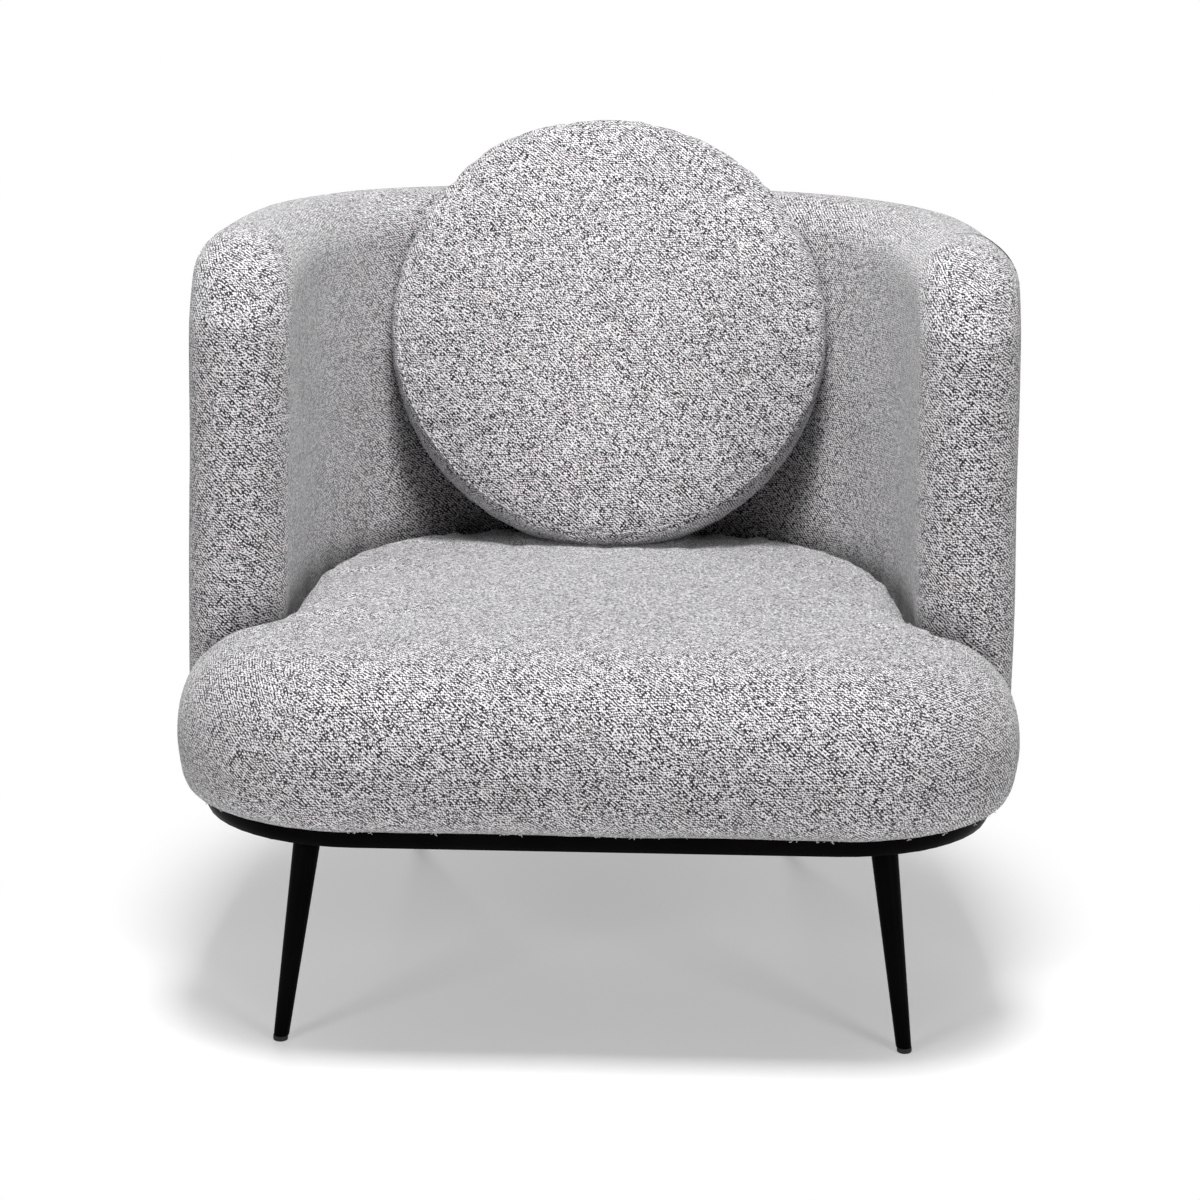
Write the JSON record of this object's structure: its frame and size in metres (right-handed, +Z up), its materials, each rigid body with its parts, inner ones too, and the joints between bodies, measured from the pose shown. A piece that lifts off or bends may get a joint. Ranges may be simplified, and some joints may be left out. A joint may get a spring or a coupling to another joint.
{
  "type": "tub chair",
  "caption": "Upholstered tub chair with a wrap-round back, a full-width padded seat, a loose round back cushion, a dark base and splayed tapered legs.",
  "frame": {"origin": "on the floor, under the middle of the chair's width and depth", "axes": "+X to the sitter's left as seen from the front, which is to the right in the picture, +Y to the back of the chair, +Z up"},
  "size_m": [0.816, 0.818, 0.8426],
  "materials": {
    "leg_black": "satin black powder coat",
    "screw_steel": "zinc-plated steel",
    "glide_plastic": "black moulded plastic",
    "base_black": "plywood panel in satin black lacquer",
    "insert_brass": "turned brass",
    "frame_wood": "planed hardwood",
    "board_wood": "bent plywood",
    "webbing": "woven elastic webbing",
    "foam": "upholstery foam",
    "tweed": "coarse pepper-and-salt tweed on a backing",
    "zip_tape": "woven tape with moulded teeth",
    "zip_metal": "plated die casting"
  },
  "bodies": {
    "chair": {"front_left_leg": "leg_black", "front_right_leg": "leg_black", "rear_left_leg": "leg_black", "rear_right_leg": "leg_black", "leg_plates": "leg_black", "leg_screws": "screw_steel", "foot_glides": "glide_plastic", "base_panel": "base_black", "base_inserts": "insert_brass", "frame_screws": "screw_steel", "seat_front_rail": "frame_wood", "seat_rear_rail": "frame_wood", "seat_side_rails": "frame_wood", "seat_corner_blocks": "frame_wood", "seat_straps_lengthwise": "webbing", "seat_straps_crosswise": "webbing", "seat_foam": "foam", "seat_cover": "tweed", "tub_bottom_rail": "frame_wood", "tub_top_rail": "frame_wood", "arm_front_posts": "frame_wood", "tub_posts": "frame_wood", "tub_outer_board": "board_wood", "tub_inner_board": "board_wood", "left_arm_foam": "foam", "right_arm_foam": "foam", "back_foam": "foam", "tub_cover": "tweed"},
    "back_cushion": {"cushion_front_panel": "tweed", "cushion_band": "tweed", "cushion_rear_panel": "tweed", "cushion_filling": "foam", "cushion_zip": "zip_tape"},
    "zip_slider": {"zip_slider": "zip_metal"}
  },
  "joints": [
    {"name": "cushion_lift", "type": "slide", "parent": "chair", "child": "back_cushion", "axis": [0, 0, 1], "range_m": [0, 0.42]},
    {"name": "zip_slide", "type": "slide", "parent": "back_cushion", "child": "zip_slider", "axis": [1, 0, 0], "range_m": [0, 0.21]}
  ]
}
